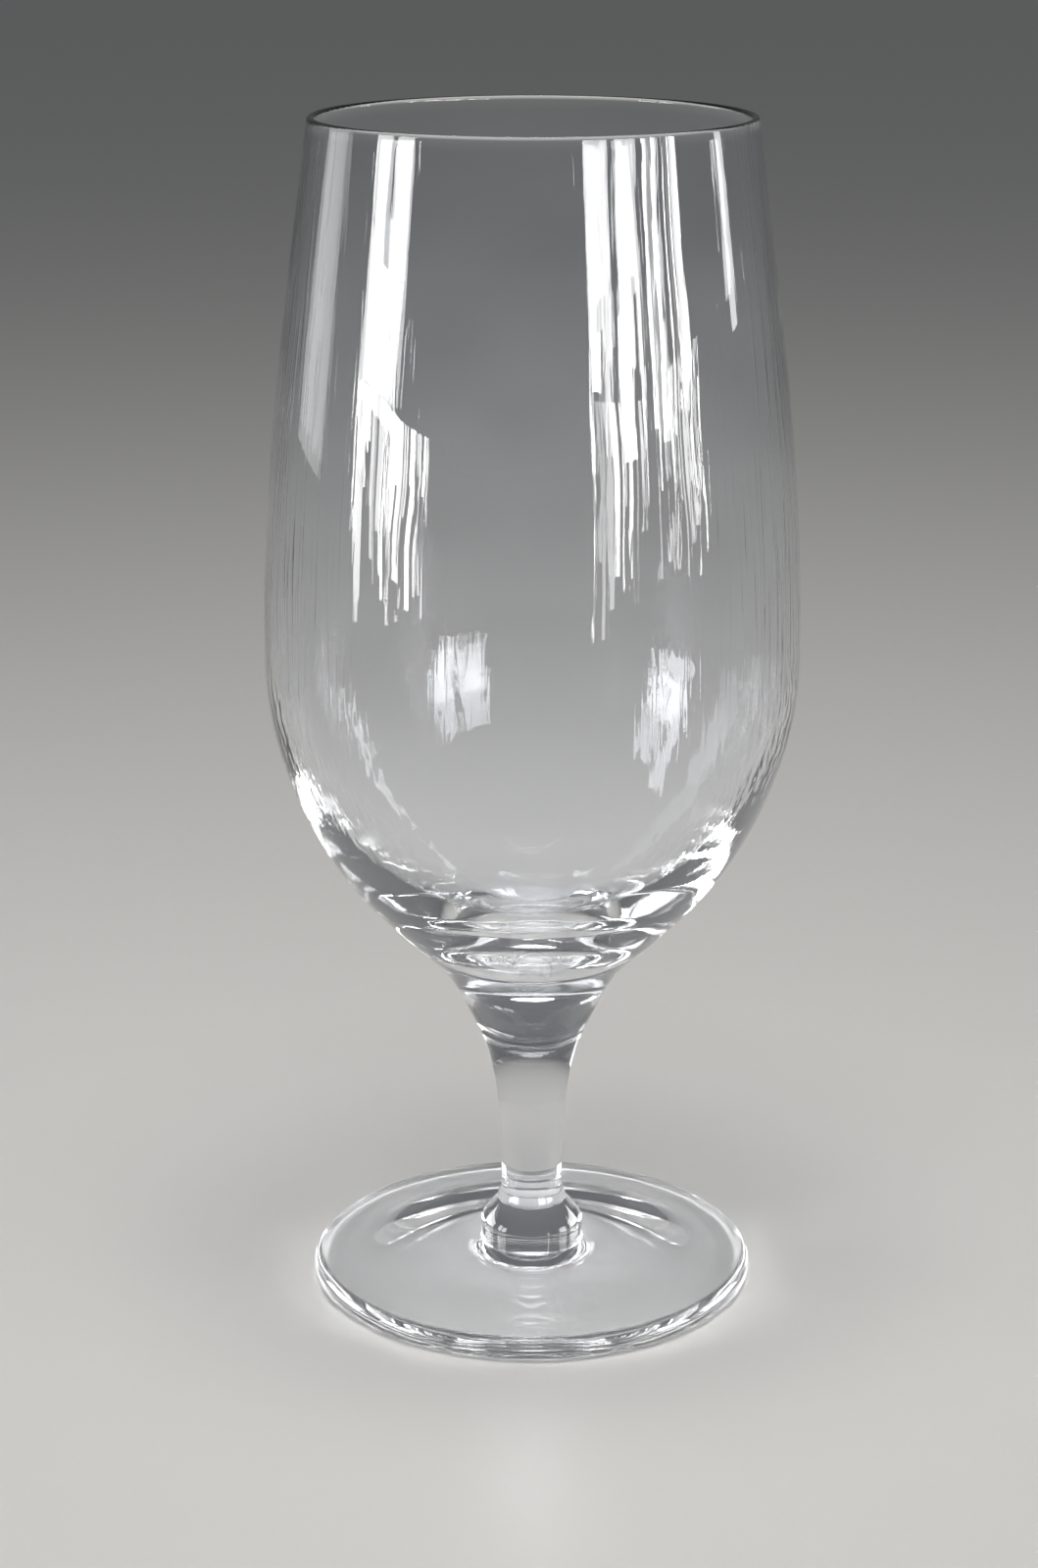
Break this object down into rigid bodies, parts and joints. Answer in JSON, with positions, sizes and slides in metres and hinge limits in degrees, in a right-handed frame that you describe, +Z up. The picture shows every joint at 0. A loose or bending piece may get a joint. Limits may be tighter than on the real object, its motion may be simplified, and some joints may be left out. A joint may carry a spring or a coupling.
{
  "type": "stemmed beer glass",
  "caption": "Clear stemmed beer glass: an egg-shaped bowl that narrows to a thin rounded rim, on a short flared stem and a round foot, for serving and drinking beer.",
  "frame": {"origin": "on the axis of the glass, in the plane that its foot stands on", "axes": "+Z up along the axis of the glass, from the foot to the mouth; +X and +Y are any two square directions, because the glass is round"},
  "size_m": [0.0846, 0.0846, 0.19],
  "materials": {
    "clear_glass": "clear and colourless, fire-polished"
  },
  "bodies": {
    "root": {"bowl": "clear_glass", "stem": "clear_glass", "foot": "clear_glass"}
  },
  "joints": []
}
